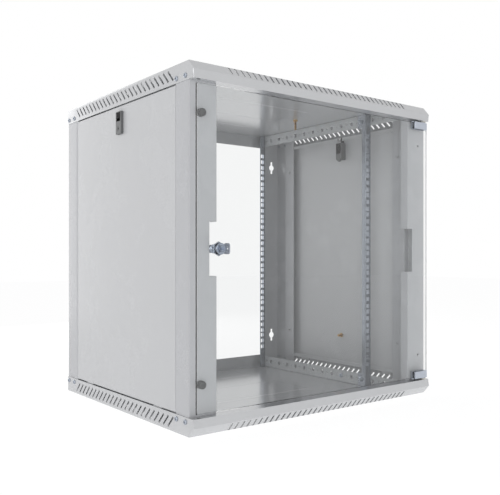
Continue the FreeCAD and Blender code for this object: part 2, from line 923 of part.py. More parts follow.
def hinge_pin():
    return rod(pin_radius, cap_edge_z + sheet + bush_above_lip - clamp_top_z,
               (hinge_x, hinge_y, clamp_top_z), (0, 0, 1))


def hinge_bush():
    z0 = shelf_top_z + hinge_play
    place = (hinge_x, hinge_y, z0)
    flange = faceted_rod(bush_flange_radius, cap_edge_z - z0, place, (0, 0, 1))
    sleeve_length = cap_edge_z - z0 + sheet + bush_above_lip
    sleeve = faceted_rod(bush_radius, sleeve_length, place, (0, 0, 1))
    bore = rod(pin_radius + pin_clearance, cap_height, (hinge_x, hinge_y, z0 - 1), (0, 0, 1))
    return flange.fuse(sleeve).cut(bore)


def hinge_pads():
    z0 = clamp_bottom_z + pad
    z1 = glass_top_z - pad
    x0 = clamp_x0 + pad
    x1 = clamp_x1 - clamp_corner
    return [
        block(x0, x1, glass_front_y - pad, glass_front_y, z0, z1),
        block(x0, x1, glass_back_y, glass_back_y + pad, z0, z1),
    ]


for name, shape in (("hinge_front", hinge_front()), ("hinge_back", hinge_back())):
    save("top_" + name, shape)
    save("bottom_" + name, mirrored_z(shape))
save("hinge_pins", hinge_pin(), mirrored_z(hinge_pin()))
save("hinge_bushes", hinge_bush(), mirrored_z(hinge_bush()))
pads = hinge_pads()
save("hinge_pads", *pads, *[mirrored_z(shape) for shape in pads])


# Door lock: body clamped in the glass by a nut, with a turning plug and cam
lock_face_y = glass_front_y - lock_flange
lock_end_y = glass_front_y + lock_body_length
cam_rear_y = lock_end_y + cam_thickness
plug_face_y = lock_face_y - plug_proud
key_tip_y = plug_face_y + key_engaged


def lock_body():
    flange = rod(lock_flange_radius, lock_flange, (lock_x, lock_face_y, middle), (0, 1, 0))
    barrel = rod(lock_body_radius, lock_body_length, (lock_x, glass_front_y, middle), (0, 1, 0))
    bore = rod(plug_radius + plug_clearance, cap_height + lock_body_length,
               (lock_x, lock_face_y - 1, middle), (0, 1, 0))
    return flange.fuse(barrel).cut(bore)


def ring(outer, y0, y1):
    bore = rod(lock_body_radius + plug_clearance, y1 - y0 + 2, (lock_x, y0 - 1, middle), (0, 1, 0))
    return outer.cut(bore)


def lock_plug():
    plug = rod(plug_radius, lock_end_y - plug_face_y, (lock_x, plug_face_y, middle), (0, 1, 0))
    half = plug_square / 2
    tail = block(lock_x - half, lock_x + half, lock_end_y, cam_rear_y, middle - half, middle + half)
    wide = key_blade_thickness / 2 + key_slot_gap
    tall = key_blade_height / 2 + key_slot_gap
    slot = block(lock_x - wide, lock_x + wide, plug_face_y - 1, key_tip_y + key_slot_gap,
                 middle - tall, middle + tall)
    screw = faceted_rod(cam_screw_radius + thread_gap, cam_screw_length + 1,
                        (lock_x, cam_rear_y + 1, middle), (0, -1, 0))
    return plug.fuse(tail).cut([slot, screw])


def lock_cam():
    y = lock_end_y
    high = cam_width / 2
    back = lock_x + high
    tip = lock_x - cam_reach
    outline = [
        (back, high - cam_corner),
        (back - cam_corner, high),
        (tip + cam_corner, high),
        (tip, high - cam_corner),
    ]
    corners = [(x, y, middle + z) for x, z in outline]
    corners += [(x, y, middle - z) for x, z in reversed(outline)]
    half = plug_square / 2 + key_slot_gap
    hole = block(lock_x - half, lock_x + half, y - 1, cam_rear_y + 1, middle - half, middle + half)
    return prism(corners, (0, cam_thickness, 0)).cut(hole)


def cam_screw():
    place = (lock_x, cam_rear_y, middle)
    head = faceted_rod(cam_screw_head_radius, cam_screw_head_height, place, (0, 1, 0))
    return head.fuse(faceted_rod(cam_screw_radius, cam_screw_length, place, (0, -1, 0)))


def door_key():
    y1 = plug_face_y - key_neck
    y0 = y1 - key_bow_length
    half = key_bow_thickness / 2
    tall = key_bow_height / 2
    bow = block(lock_x - half, lock_x + half, y0, y1, middle - tall, middle + tall)
    corners = [edge for edge in bow.Edges if edge.BoundBox.XLength > half]
    bow = bow.makeChamfer(key_bow_corner / 2, corners)
    hole_y = (y0 + y1) / 2 - key_hole_radius
    hole = rod(key_hole_radius, 2 * through, (lock_x - through, hole_y, middle), (1, 0, 0))
    half = key_blade_thickness / 2
    tall = key_blade_height / 2
    blade = prism([
        (lock_x - half, y1 - 1, middle - tall),
        (lock_x - half, key_tip_y - tall, middle - tall),
        (lock_x - half, key_tip_y, middle),
        (lock_x - half, key_tip_y - tall, middle + tall),
        (lock_x - half, y1 - 1, middle + tall),
    ], (key_blade_thickness, 0, 0))
    return bow.fuse(blade).cut(hole)


save("lock_body", lock_body())
washer = rod(lock_washer_radius, lock_washer, (lock_x, glass_back_y, middle), (0, 1, 0))
save("lock_washer", ring(washer, glass_back_y, glass_back_y + lock_washer))
nut_y = glass_back_y + lock_washer
nut = hexagon_along_y(lock_nut_flats, nut_y, nut_y + lock_nut_height, lock_x, middle)
save("lock_nut", ring(nut, nut_y, nut_y + lock_nut_height))
save("lock_plug", lock_plug())
save("lock_cam", lock_cam())
save("cam_screw", cam_screw())
save("key", door_key())


# Rubber buffers plugged into the front left post
def buffer(z):
    length = post_front_y - glass_back_y - buffer_gap
    x = left + buffer_from_side
    head = faceted_rod(buffer_radius, length, (x, post_front_y, z), (0, -1, 0))
    stem = faceted_rod(buffer_stem_radius, buffer_stem_length, (x, post_front_y, z), (0, 1, 0))
    return head.fuse(stem)


save("door_buffers", buffer(middle - buffer_from_middle), buffer(middle + buffer_from_middle))
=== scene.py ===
import bpy
import json
import math
from mathutils import Matrix, Vector

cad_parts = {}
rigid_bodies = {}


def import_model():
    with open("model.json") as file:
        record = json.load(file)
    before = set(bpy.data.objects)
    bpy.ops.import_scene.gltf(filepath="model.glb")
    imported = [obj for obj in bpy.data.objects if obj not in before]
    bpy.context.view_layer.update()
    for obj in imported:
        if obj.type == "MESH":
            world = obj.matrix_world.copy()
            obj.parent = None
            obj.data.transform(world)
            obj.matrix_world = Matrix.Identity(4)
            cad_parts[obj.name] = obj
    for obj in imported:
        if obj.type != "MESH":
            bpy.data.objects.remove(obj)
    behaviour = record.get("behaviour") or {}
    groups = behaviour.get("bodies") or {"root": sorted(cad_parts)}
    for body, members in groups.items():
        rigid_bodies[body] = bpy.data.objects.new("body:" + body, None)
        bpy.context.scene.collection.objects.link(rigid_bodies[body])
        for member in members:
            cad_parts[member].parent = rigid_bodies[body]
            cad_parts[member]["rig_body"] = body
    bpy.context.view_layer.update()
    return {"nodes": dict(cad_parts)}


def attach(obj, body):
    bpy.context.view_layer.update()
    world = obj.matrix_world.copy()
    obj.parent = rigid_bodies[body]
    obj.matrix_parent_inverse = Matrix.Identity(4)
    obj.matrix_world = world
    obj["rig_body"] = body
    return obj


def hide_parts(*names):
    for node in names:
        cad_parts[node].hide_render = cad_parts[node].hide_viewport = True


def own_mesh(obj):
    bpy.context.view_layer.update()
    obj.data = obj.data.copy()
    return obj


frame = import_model()

# Studio: a pale floor, a white surround and soft light.
# The camera stands level, a little below the middle of the cabinet, and looks at its
# front left corner. Its shift puts the cabinet in the middle of the picture.
bpy.context.scene.view_settings.view_transform = "Standard"
MM = 0.001
camera_place = (-0.89536, -1.27622, 0.30578)
camera_turn = -40.07
camera_lens = 49.84
camera_shift = (-0.1142, 0.0162)
bpy.ops.object.camera_add(location=camera_place,
                          rotation=(math.radians(90), 0, math.radians(camera_turn)))
camera = bpy.context.object
camera.data.lens = camera_lens
camera.data.shift_x, camera.data.shift_y = camera_shift
bpy.context.scene.camera = camera


def linear(hex_colour):
    """An sRGB colour such as C4C6C8 as linear numbers for a shader."""
    parts = [int(hex_colour[i:i + 2], 16) / 255 for i in (0, 2, 4)]
    linear_parts = [c / 12.92 if c <= 0.04045 else ((c + 0.055) / 1.055) ** 2.4 for c in parts]
    return (*linear_parts, 1.0)


def add_node(tree, kind, settings=None, **inputs):
    """A node with its settings. Each input is a value, or the output that feeds it. Its name
    has underscores for spaces, or it is i and the input's number."""
    node = tree.nodes.new(kind)
    for name, value in (settings or {}).items():
        setattr(node, name, value)
    for name, source in inputs.items():
        key = int(name[1:]) if name[1:].isdigit() else name.replace("_", " ")
        socket = node.inputs[key]
        if isinstance(source, bpy.types.NodeSocket):
            tree.links.new(source, socket)
        else:
            socket.default_value = source
    return node


def blank(name):
    """A new material's tree, emptied but for its output."""
    material = bpy.data.materials.new(name)
    material.use_nodes = True
    material.node_tree.nodes.clear()
    output = add_node(material.node_tree, "ShaderNodeOutputMaterial")
    return material, material.node_tree, output


def seen_directly(tree):
    """1 for a ray from the camera, off a glossy surface or through glass, and 0 for the rest."""
    path = add_node(tree, "ShaderNodeLightPath")
    some = add_node(tree, "ShaderNodeMath", {"operation": "MAXIMUM"},
                    i0=path.outputs["Is Camera Ray"], i1=path.outputs["Is Glossy Ray"])
    return add_node(tree, "ShaderNodeMath", {"operation": "MAXIMUM"},
                    i0=some.outputs[0], i1=path.outputs["Is Transmission Ray"]).outputs[0]


surround_light = 0.42
world = bpy.data.worlds.new("white_surround")
bpy.context.scene.world = world
world.use_nodes = True
tree = world.node_tree
tree.nodes.clear()
seen = add_node(tree, "ShaderNodeBackground", Color=linear("FFFFFF"), Strength=1.0)
lit = add_node(tree, "ShaderNodeBackground", Color=linear("FDFDFE"), Strength=surround_light)
mixed = add_node(tree, "ShaderNodeMixShader", i0=seen_directly(tree),
                 i1=lit.outputs[0], i2=seen.outputs[0])
add_node(tree, "ShaderNodeOutputWorld", Surface=mixed.outputs[0])

floor_size = 14.0
floor_glow = 0.68
floor_seen_glow = 0.86
floor_seen_share = 0.30
bpy.ops.object.select_all(action="DESELECT")
bpy.ops.mesh.primitive_plane_add(size=floor_size)
floor = bpy.context.object
floor.name = "floor"
material, tree, output = blank("matt_white_floor")
sheet = add_node(tree, "ShaderNodeBsdfDiffuse", Color=linear("F2F2F2"))
faint = add_node(tree, "ShaderNodeBsdfDiffuse", Color=(floor_seen_share,) * 3 + (1.0,))
glow = add_node(tree, "ShaderNodeEmission", Color=linear("FFFFFF"), Strength=floor_glow)
seen_glow = add_node(tree, "ShaderNodeEmission", Color=linear("FFFFFF"),
                     Strength=floor_seen_glow)
lighting = add_node(tree, "ShaderNodeAddShader", i0=sheet.outputs[0], i1=glow.outputs[0])
showing = add_node(tree, "ShaderNodeAddShader", i0=faint.outputs[0], i1=seen_glow.outputs[0])
picked = add_node(tree, "ShaderNodeMixShader", i0=seen_directly(tree),
                  i1=lighting.outputs[0], i2=showing.outputs[0])
tree.links.new(picked.outputs[0], output.inputs["Surface"])
floor.data.materials.append(material)

# Place, aim, width and watts of each lamp: high and low at the front left, and one behind
# the cabinet, which lights its inside through the open rear.
lamps = (
    ((-2.8, -2.1, 2.2), (0, 0, 0.3), 2.0, 4),
    ((-2.3, -2.3, 0.8), (0.2, 0, 0.3), 2.4, 25),
    ((-0.05, 1.7, 0.6), (0.1, 0, 0.3), 1.6, 9),
)
for place, aim, wide, watts in lamps:
    bpy.ops.object.light_add(type="AREA", location=place)
    lamp = bpy.context.object
    lamp.data.size = wide
    lamp.data.energy = watts
    lamp.rotation_euler = (Vector(aim) - Vector(place)).to_track_quat("-Z", "Y").to_euler()


# Top and bottom caps: trays of 1.5 mm steel sheet, punched with slanted vents and folded.
# They are powder coated light grey after folding, so that the folds roll over softly and
# the faces have the even sheen and fine orange peel of polyester powder.
def finish(name, colour, metallic, roughness, cloud, grain, drawn=1.0, ior=1.5):
    """A surface with soft clouds in its tone and sheen, and a fine grain. Cloud is the size
    in mm and the depth of tone. Grain is the size and the height in mm. Drawn stretches
    the grain along Z, as on rolled or drawn metal."""
    material, tree, output = blank(name)
    place = add_node(tree, "ShaderNodeTexCoord").outputs["Object"]
    along = add_node(tree, "ShaderNodeMapping", Vector=place, Scale=(1, 1, 1 / drawn))
    clouds = add_node(tree, "ShaderNodeTexNoise", Vector=place, Scale=1 / (cloud[0] * MM),
                      Detail=2.0)
    grains = add_node(tree, "ShaderNodeTexNoise", Vector=along.outputs[0],
                      Scale=1 / (grain[0] * MM), Detail=2.0)
    both = add_node(tree, "ShaderNodeMath", {"operation": "MULTIPLY_ADD"},
                    i0=grains.outputs["Fac"], i1=0.4, i2=clouds.outputs["Fac"])
    least, most = 0.45, 0.95
    tone = add_node(tree, "ShaderNodeMapRange", Value=both.outputs[0], From_Min=least,
                    From_Max=most, To_Min=1 - cloud[1], To_Max=1 + cloud[1])
    tinted = add_node(tree, "ShaderNodeVectorMath", {"operation": "SCALE"},
                      i0=linear(colour)[:3], Scale=tone.outputs[0])
    sheen = add_node(tree, "ShaderNodeMapRange", Value=both.outputs[0], From_Min=least,
                     From_Max=most, To_Min=0.94 * roughness, To_Max=1.06 * roughness)
    bump = add_node(tree, "ShaderNodeBump", Height=grains.outputs["Fac"], Strength=0.5,
                    Distance=grain[1] * MM)
    body = add_node(tree, "ShaderNodeBsdfPrincipled", Metallic=metallic, IOR=ior,
                    Base_Color=tinted.outputs[0], Roughness=sheen.outputs[0],
                    Normal=bump.outputs[0])
    tree.links.new(body.outputs[0], output.inputs["Surface"])
    return material


def select_only(*pieces):
    """Select these pieces and nothing else. The first one is worked on."""
    bpy.ops.object.select_all(action="DESELECT")
    for piece in pieces:
        piece.select_set(True)
    bpy.context.view_layer.objects.active = pieces[0]


def carved(piece, *tools, way="DIFFERENCE"):
    """A piece with its tools cut out of it, or built on to it."""
    for tool in tools:
        change = piece.modifiers.new("change", "BOOLEAN")
        change.object = tool
        change.operation = way
        select_only(piece)
        bpy.ops.object.modifier_apply(modifier="change")
        bpy.data.objects.remove(tool)
    return piece


def copied(node, *tools):
    """A copy of a CAD piece, with the tools cut out of it and its loose triangles merged
    into whole faces."""
    piece = bpy.data.objects.new(node + "_finished", frame["nodes"][node].data.copy())
    piece.data.materials.clear()
    bpy.context.collection.objects.link(piece)
    select_only(piece)
    bpy.ops.object.mode_set(mode="EDIT")
    bpy.ops.mesh.select_all(action="SELECT")
    bpy.ops.mesh.remove_doubles(threshold=0.005 * MM)
    bpy.ops.object.mode_set(mode="OBJECT")
    carved(piece, *tools)
    select_only(piece)
    bpy.ops.object.mode_set(mode="EDIT")
    bpy.ops.mesh.select_all(action="SELECT")
    bpy.ops.mesh.dissolve_limited(angle_limit=math.radians(1))
    bpy.ops.object.mode_set(mode="OBJECT")
    return piece


def smoothed(piece, angle=30):
    """Shade a piece as round where its faces meet at less than the angle, in degrees."""
    select_only(piece)
    bpy.ops.object.shade_smooth_by_angle(angle=math.radians(angle))
    return piece


def eased(piece, edge_mm, crease=60, smooth=50, steps=2):
    """Ease the edges that are sharper than the crease, and shade the bends as round."""
    select_only(piece)
    ease = piece.modifiers.new("ease", "BEVEL")
    ease.width = edge_mm * MM
    ease.segments = steps
    ease.angle_limit = math.radians(crease)
    bpy.ops.object.modifier_apply(modifier="ease")
    smoothed(piece, smooth)
    level = piece.modifiers.new("level", "WEIGHTED_NORMAL")
    level.keep_sharp = True
    bpy.ops.object.modifier_apply(modifier="level")
    return piece


def fitted(piece, node, slot, *finishes):
    """Give a piece its finish, and let it ride with its CAD node and stand for it."""
    for surface in finishes:
        piece.data.materials.append(surface)
    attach(piece, frame["nodes"][node]["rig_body"])
    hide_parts(node)


half_width = 300.0
half_depth = 275.0
casing_height = 635.0
middle_z = casing_height / 2
cap_edge_z = 602.5
chamfer_depth = 15.0
chamfer_rise = 16.7


def outline(inset):
    """The corners of the top cap's side in mm from front to rear, inset from its faces."""
    slope = math.hypot(chamfer_depth, chamfer_rise)
    return [
        (-half_depth + inset, cap_edge_z),
        (-half_depth + inset,
         casing_height - chamfer_rise - inset * (slope - chamfer_rise) / chamfer_depth),
        (-half_depth + chamfer_depth + inset * (slope - chamfer_depth) / chamfer_rise,
         casing_height - inset),
        (half_depth - inset, casing_height - inset),
        (half_depth - inset, cap_edge_z),
    ]


def roll_side_folds(piece, flat, fold):
    """Widen the narrow flat along each side fold of a cap to the fold's real width."""
    for vertex in piece.data.vertices:
        x, y, z = vertex.co / MM
        low = z < middle_z
        height = casing_height - z if low else z
        if abs(abs(x) - half_width + flat) < 0.02:
            x = math.copysign(half_width - fold, x)
        elif abs(abs(x) - half_width) < 0.02:
            for (y0, z0), (y1, z1) in zip(outline(flat), outline(fold)):
                if abs(y - y0) < 0.1 and abs(height - z0) < 0.1:
                    y, height = y1, z1
        vertex.co = Vector((x, y, casing_height - height if low else height)) * MM


casing_coat = finish("powder_coated_casing", "C4C5C7", 0.45, 0.19, (90, 0.015), (1.3, 0.004),
                     ior=1.55)
cap_flat = 0.5
cap_fold = 2.2
for node in ("top_cap", "bottom_cap"):
    piece = copied(node)
    roll_side_folds(piece, cap_flat, cap_fold)
    fitted(eased(piece, 0.12), node, "casing_paint", casing_coat)


# Fan and cable covers: flat blanks in the caps, which four small bridges still hold until a
# fan or a cable needs the opening. Their edges and eased bevels are painted near white,
# a painted highlight that shows them as fine pale lines.
def faced(piece, chosen):
    """Give the second finish to the faces for which chosen(middle, normal) holds, in mm."""
    for face in piece.data.polygons:
        face.material_index = int(chosen(face.center / MM, face.normal))


# Near-white finish for the cover edges: a painted highlight.
cut_steel = finish("bright_cut_steel_edge", "F4F4F5", 0.0, 0.35, (20, 0.02), (1.0, 0.004))
for node in ("top_fan_cover", "top_cable_cover", "bottom_fan_cover", "bottom_cable_cover"):
    cover = eased(copied(node), 0.7)
    fitted(cover, node, "casing_paint", casing_coat, cut_steel)
    # Every face of a cover that does not lie flat takes the near-white finish: the painted
    # highlight along its edges.
    faced(cover, lambda spot, normal: abs(normal.z) < 0.98)


# Corner posts: columns of 1.5 mm sheet folded five times, with a recess for the side panel.
# They are bolted into the caps at both ends and coated a little flatter than them.
post_coat = finish("powder_coated_post", "BBBCBF", 0.0, 0.27, (90, 0.015), (1.3, 0.004))
for node in ("front_right_post", "front_left_post", "rear_right_post", "rear_left_post"):
    fitted(eased(copied(node), 0.2), node, "casing_paint", post_coat)


# Cap screws: M5 pan heads with a cross recess and a square neck, in passivated zinc.
# Two at each end of each post hold the cap's flange to the post.
def turned(name, profile, sides=48, ring=False):
    """A shape turned about Z from its radii and heights in mm. A ring closes on its start."""
    start, height = profile[0]
    bpy.ops.object.select_all(action="DESELECT")
    bpy.ops.mesh.primitive_circle_add(vertices=sides, radius=start * MM)
    piece = bpy.context.object
    piece.name = name
    bpy.ops.object.mode_set(mode="EDIT")
    bpy.ops.mesh.select_all(action="SELECT")
    bpy.ops.transform.translate(value=(0, 0, height * MM))
    steps = profile + profile[:1] if ring else profile
    for (r0, z0), (r1, z1) in zip(steps, steps[1:]):
        bpy.ops.mesh.extrude_region_move(
            TRANSFORM_OT_translate={"value": (0, 0, (z1 - z0) * MM)})
        bpy.ops.transform.resize(value=(r1 / r0, r1 / r0, 1),
                                 center_override=(0, 0, z1 * MM))
    close_up()
    return piece


def close_up():
    """Merge the doubles of the piece in edit mode, fill its ends and turn its faces out."""
    bpy.ops.mesh.select_all(action="SELECT")
    bpy.ops.mesh.remove_doubles(threshold=0.002 * MM)
    bpy.ops.mesh.fill_holes(sides=0)
    bpy.ops.mesh.normals_make_consistent(inside=False)
    bpy.ops.object.mode_set(mode="OBJECT")


def bar(name, low, high):
    """A square bar between two corners, in mm."""
    low, high = Vector(low), Vector(high)
    bpy.ops.object.select_all(action="DESELECT")
    bpy.ops.mesh.primitive_cube_add(size=1, location=(low + high) / 2 * MM)
    piece = bpy.context.object
    piece.name = name
    piece.scale = (high - low) * MM
    bpy.ops.object.transform_apply()
    return piece


def thread(radius, z0, z1, pitch):
    """A helical ridge about Z, wound from a small triangle."""
    half = 0.5 * pitch
    bpy.ops.object.select_all(action="DESELECT")
    bpy.ops.mesh.primitive_circle_add(vertices=3, radius=half * MM, fill_type="NGON")
    ridge = bpy.context.object
    ridge.matrix_world = Matrix(((0, 1, 0, (radius - half) * MM), (0, 0, 1, 0),
                                 (1, 0, 0, (z0 + half) * MM), (0, 0, 0, 1)))
    bpy.ops.object.transform_apply()
    wind = ridge.modifiers.new("wind", "SCREW")
    wind.screw_offset = pitch * MM
    wind.iterations = int((z1 - z0) / pitch) - 1
    wind.steps = wind.render_steps = 20
    bpy.ops.object.modifier_apply(modifier="wind")
    bpy.ops.object.mode_set(mode="EDIT")
    close_up()
    return ridge


def joined(*pieces):
    """Several shells as one piece, under the first one's name."""
    select_only(*pieces)
    bpy.ops.object.join()
    return pieces[0]


def placed(piece, place, axis=(0, 0, 1)):
    """Turn a piece from Z to an axis and move it in mm. Its origin stays at the world's."""
    turn = Vector(axis).to_track_quat("Z", "Y").to_matrix().to_4x4()
    piece.matrix_world = Matrix.Translation(Vector(place) * MM) @ turn
    select_only(piece)
    bpy.ops.object.transform_apply()
    return piece


def another(piece):
    """A copy of a piece with a mesh of its own."""
    copy = piece.copy()
    copy.data = piece.data.copy()
    bpy.context.collection.objects.link(copy)
    return copy


def solids_of(node):
    """Where the separate solids of a CAD node are. Each has its side as 1 or -1, its near and
    far end from the middle plane, and its middle's Y and Z, all in mm."""
    copied(node)
    bpy.ops.object.mode_set(mode="EDIT")
    bpy.ops.mesh.select_all(action="SELECT")
    bpy.ops.mesh.separate(type="LOOSE")
    bpy.ops.object.mode_set(mode="OBJECT")
    places = []
    for solid in list(bpy.context.selected_objects):
        points = [vertex.co / MM for vertex in solid.data.vertices]
        low = Vector([min(point[i] for point in points) for i in range(3)])
        high = Vector([max(point[i] for point in points) for i in range(3)])
        middle = (low + high) / 2
        near, far = sorted((abs(low.x), abs(high.x)))
        places.append((math.copysign(1, middle.x), near, far, middle.y, middle.z))
        bpy.data.objects.remove(solid)
    return places


def pan_screw(name, head_radius, head_height, shank_radius, length, pitch, neck=0):
    """A pan head screw down Z, with its seat at zero, a cross recess and a rolled thread."""
    head = turned(name, [
        (0.93 * head_radius, 0), (head_radius, 0.12 * head_height),
        (head_radius, 0.4 * head_height), (0.95 * head_radius, 0.65 * head_height),
        (0.82 * head_radius, 0.86 * head_height), (0.6 * head_radius, 0.97 * head_height),
        (0.3 * head_radius, head_height),
    ])
    reach, half, floor_z = 0.56 * head_radius, 0.13 * head_radius, 0.35 * head_height
    head = carved(head, bar("recess", (-reach, -half, floor_z), (reach, half, 2 * head_height)),
                  bar("recess", (-half, -reach, floor_z), (half, reach, 2 * head_height)))
    smoothed(head)
    depth = 0.6 * pitch
    shank = turned("shank", [(shank_radius - 2 * depth, -length),
                             (shank_radius - depth, -length + depth),
                             (shank_radius - depth, 0.1)], 24)
    pieces = [head, shank, thread(shank_radius, -length + depth, 0, pitch)]
    if neck:
        pieces.append(bar("neck", (-shank_radius, -shank_radius, -neck),
                          (shank_radius, shank_radius, 0.1)))
    return joined(*pieces)


bright_zinc = finish("passivated_zinc_screw", "A9AFB9", 1.0, 0.3, (5, 0.12), (0.5, 0.02))
first = pan_screw("cap_screws_finished", 4.5, 2.4, 2.5, 8.0, 0.8, neck=3.0)
screws = []
for side, near, far, y, z in solids_of("cap_screws"):
    screws.append(placed(another(first), (side * half_width, y, z), (side, 0, 0)))
bpy.data.objects.remove(first)
fitted(joined(*screws), "cap_screws", "fastener_zinc", bright_zinc)


# Depth brackets: perforated angles of 1.5 mm sheet, spot welded to the plates of the caps.
# Square holes take the rail bolts, and small round ones between them take cable ties.
bracket_coat = finish("powder_coated_bracket", "BEC0C2", 0.0, 0.26, (70, 0.02), (1.3, 0.006))
bracket_hole_pitch = 35.0
first_hole_y = 266.0
tie_holes = 14
tie_hole_radius = 2.0
for node in ("top_right_bracket", "top_left_bracket", "bottom_right_bracket",
             "bottom_left_bracket"):
    side = 1 if "right" in node else -1
    z = 617.5 if "top" in node else 17.5
    holes = []
    for step in range(tie_holes):
        y = first_hole_y - (step + 0.5) * bracket_hole_pitch
        holes.append(placed(turned("hole", [(tie_hole_radius, 0), (tie_hole_radius, 8)], 20),
                            (side * 240, y, z), (side, 0, 0)))
    fitted(eased(copied(node, *holes), 0.15), node, "bracket_paint", bracket_coat)


# Rails: folded steel with three square holes in each rack unit for cage nuts.
# They are zinc plated and passivated after punching, which leaves a bluish, faintly
# clouded metal with the draw lines of the sheet along it.
rail_zinc = finish("passivated_zinc_rail", "9DA3AC", 0.85, 0.24, (16, 0.07), (0.8, 0.02),
                   drawn=12.0)
for node in ("front_right_rail", "front_left_rail", "rear_right_rail", "rear_left_rail"):
    fitted(eased(copied(node), 0.15), node, "rail_zinc", rail_zinc)


# Rail bolts and square nuts: M6 in passivated zinc, one pair at each end of each rail.
# Two spare pairs wait further back in the top brackets.
head_height = 3.0
bolts = []
for side, near, far, y, z in solids_of("rail_bolts"):
    bolt = pan_screw("rail_bolts_finished", 5.4, head_height, 3.0, far - near - head_height, 1.0)
    bolts.append(placed(bolt, (side * (near + head_height), y, z), (-side, 0, 0)))
fitted(joined(*bolts), "rail_bolts", "fastener_zinc", bright_zinc)
bolts[0].name = "rail_bolts_finished"

nut_width = 10.0
nut_height = 4.0
half = nut_width / 2
first = carved(bar("rail_nuts_finished", (-half, -half, 0), (half, half, nut_height)),
               turned("bore", [(2.95, -1), (2.95, nut_height + 1)], 32))
eased(first, 0.5, smooth=30)
nuts = []
for side, near, far, y, z in solids_of("rail_nuts"):
    nuts.append(placed(another(first), (side * near, y, z), (side, 0, 0)))
bpy.data.objects.remove(first)
fitted(joined(*nuts), "rail_nuts", "fastener_zinc", bright_zinc)


# Earth studs: M6 brass rods, each held by a hexagon collar that is pressed into the sheet.
# One hangs from the top cap and one stands out from the inside of each side panel.
turned_brass = finish("turned_brass", "B9924E", 1.0, 0.28, (6, 0.1), (0.5, 0.02))


def earth_stud(name, length):
    """A threaded rod down Z from its collar, whose upper face is at zero."""
    collar = turned(name, [(5.1, -3.0), (5.5, -2.6), (5.5, -0.4), (5.1, 0)], 6)
    rod = turned("rod", [(1.9, -length), (2.4, -length + 0.6), (2.4, -0.5)], 24)
    return joined(collar, rod, thread(3.0, -length + 0.6, -2.0, 1.0))


for node, length, place, axis in (
    ("cap_earth_stud", 23.5, (163, 28, 633.5), (0, 0, 1)),
    ("right_panel_earth_stud", 13.0, (297.3, 8, 105), (1, 0, 0)),
    ("left_panel_earth_stud", 13.0, (-297.3, 8, 105), (-1, 0, 0)),
):
    stud = placed(earth_stud(node + "_finished", length), place, axis)
    fitted(stud, node, "stud_brass", turned_brass)


# Side panels: shallow trays of 1.2 mm sheet that stand in the posts on two tabs.
# Their powder coat is the casing's, with a little less gloss.
panel_coat = finish("powder_coated_panel", "C5C6C8", 0.0, 0.27, (110, 0.012), (1.3, 0.003))
for node in ("right_side_panel", "left_side_panel"):
    fitted(eased(copied(node), 0.4, steps=3), node, "panel_paint", panel_coat)


# Panel latches: a moulded case clipped into a window of the panel, with a slide button
# that draws a spring bolt down, and a key plug below it that blocks the button.
def roll(piece, width, chosen, steps=4):
    """Round the edges for which chosen(start, end) holds, with the ends in mm."""
    select_only(piece)
    bpy.ops.object.mode_set(mode="EDIT")
    bpy.ops.mesh.select_mode(type="EDGE")
    bpy.ops.mesh.select_all(action="DESELECT")
    bpy.ops.object.mode_set(mode="OBJECT")
    points = [vertex.co / MM for vertex in piece.data.vertices]
    for edge in piece.data.edges:
        edge.select = chosen(*(points[i] for i in edge.vertices))
    bpy.ops.object.mode_set(mode="EDIT")
    bpy.ops.mesh.bevel(offset=width * MM, segments=steps)
    bpy.ops.object.mode_set(mode="OBJECT")
    return piece


